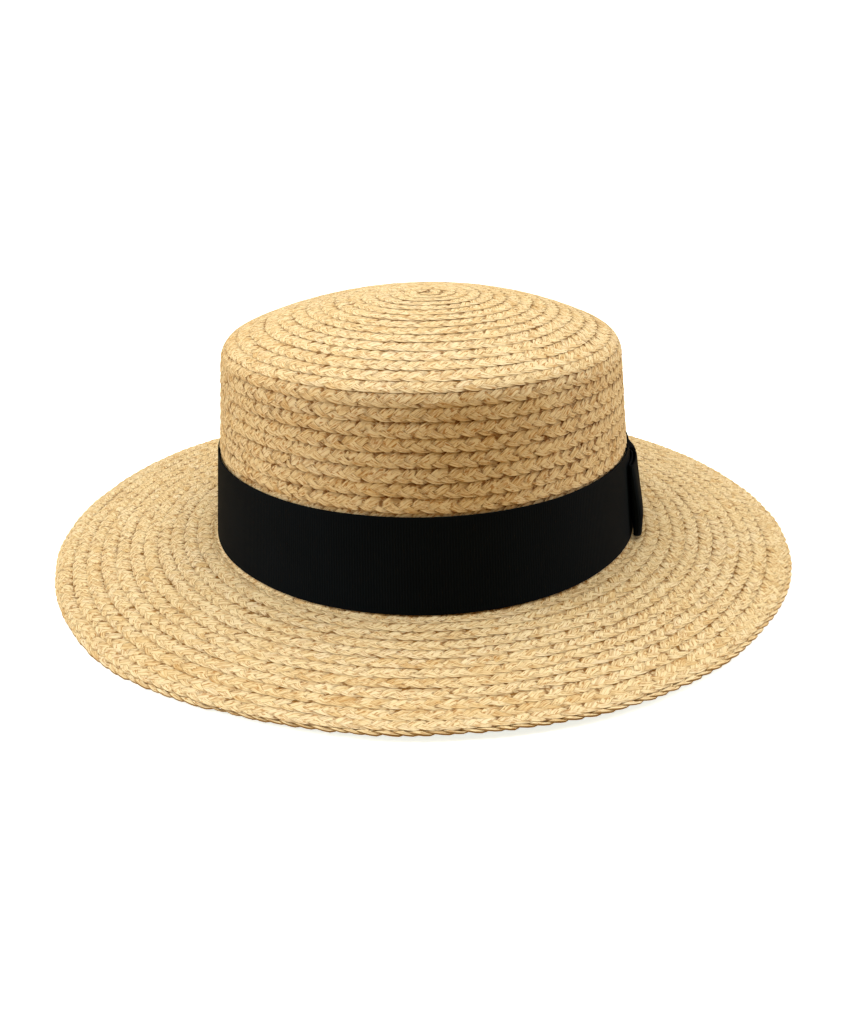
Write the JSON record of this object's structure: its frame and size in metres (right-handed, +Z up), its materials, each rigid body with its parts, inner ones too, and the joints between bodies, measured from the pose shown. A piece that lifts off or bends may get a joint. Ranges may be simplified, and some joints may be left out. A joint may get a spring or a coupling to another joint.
{
  "type": "wide-brim straw boater hat",
  "caption": "Flat-topped straw hat of sewn braid with a wide, nearly level brim, a black ribbon round the crown and a flat side bow.",
  "frame": {"origin": "on the table under the middle of the crown, level with the lowest arcs of the brim", "axes": "+Z up, -Y to the front of the hat, +X to the wearer's left, where the bow is"},
  "size_m": [0.2986, 0.3255, 0.0993],
  "materials": {
    "straw": "matte sewn raffia braid",
    "grosgrain": "dull ribbed ribbon"
  },
  "bodies": {
    "root": {"crown": "straw", "brim": "straw", "ribbon": "grosgrain", "bow_loops": "grosgrain", "bow_knot": "grosgrain"}
  },
  "joints": []
}
